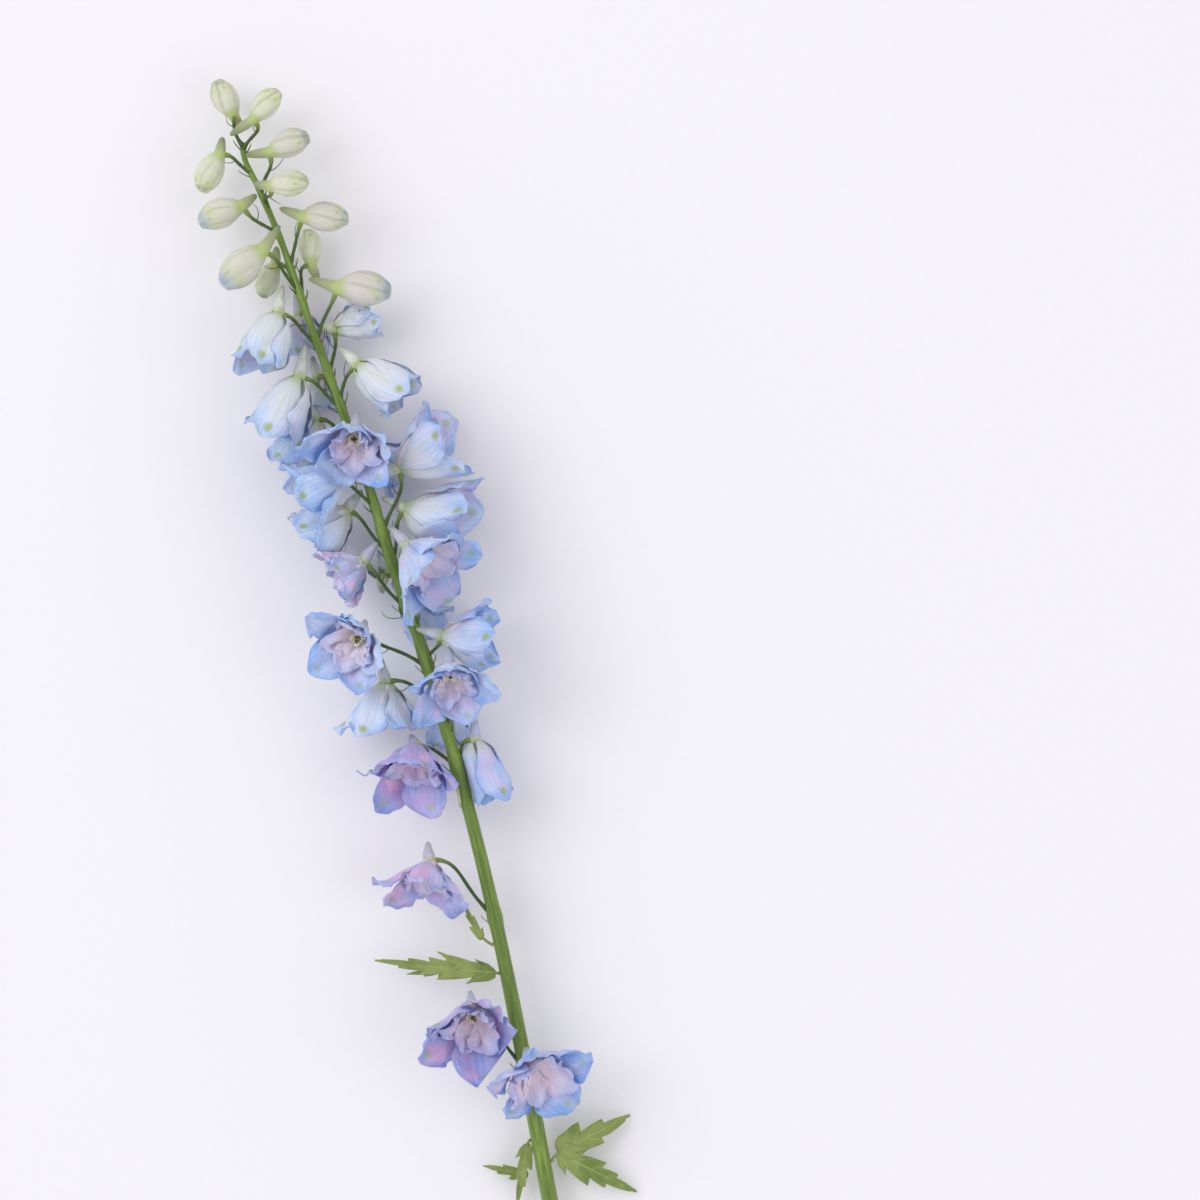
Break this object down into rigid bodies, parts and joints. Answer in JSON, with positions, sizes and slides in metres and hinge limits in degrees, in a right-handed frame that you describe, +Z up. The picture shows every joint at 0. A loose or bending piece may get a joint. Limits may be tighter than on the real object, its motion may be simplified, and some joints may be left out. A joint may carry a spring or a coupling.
{
  "type": "delphinium flower spike",
  "caption": "Cut flower spike lying on its side: a green stem with hooked stalks, closed cream buds at the top, spurred light blue and lilac florets below, and lobed leaves near the cut end.",
  "frame": {"origin": "on the surface that the spike lies on, under the middle of its box", "axes": "+Y along the stem from its cut end to the topmost buds, +Z up from the surface"},
  "size_m": [0.13, 0.7289, 0.0903],
  "materials": {
    "stem_green": "satin green skin",
    "leaf_green": "matte green",
    "bud_cream": "matte cream and green",
    "sepal_blue": "soft satin light blue",
    "sepal_lilac": "soft satin lilac",
    "eye_cream": "matte cream"
  },
  "bodies": {
    "root": {"stem": "stem_green", "bud_01": "bud_cream", "bud_02": "bud_cream", "bud_03": "bud_cream", "bud_04": "bud_cream", "bud_05": "bud_cream", "bud_06": "bud_cream", "bud_07": "bud_cream", "bud_08": "bud_cream", "bud_09": "bud_cream", "bud_10": "bud_cream", "bud_11": "bud_cream", "floret_01": "sepal_blue", "floret_02": "sepal_blue", "floret_03": "sepal_blue", "floret_04": "sepal_blue", "floret_05": "sepal_blue", "floret_06": "sepal_blue", "floret_07": "sepal_blue", "eye_07": "eye_cream", "floret_08": "sepal_blue", "floret_09": "sepal_blue", "floret_10": "sepal_blue", "floret_11": "sepal_blue", "floret_12": "sepal_blue", "floret_13": "sepal_blue", "floret_14": "sepal_blue", "floret_15": "sepal_blue", "floret_16": "sepal_blue", "eye_16": "eye_cream", "floret_17": "sepal_blue", "eye_17": "eye_cream", "floret_18": "sepal_blue", "floret_19": "sepal_blue", "floret_20": "sepal_blue", "eye_20": "eye_cream", "floret_21": "sepal_blue", "eye_21": "eye_cream", "floret_22": "sepal_blue", "floret_23": "sepal_blue", "floret_24": "sepal_lilac", "eye_24": "eye_cream", "floret_25": "sepal_lilac", "eye_25": "eye_cream", "floret_26": "sepal_lilac", "eye_26": "eye_cream", "floret_27": "sepal_blue", "leaf_01": "leaf_green", "leaf_02": "leaf_green", "leaf_03": "leaf_green", "leaf_04": "leaf_green"}
  },
  "joints": []
}
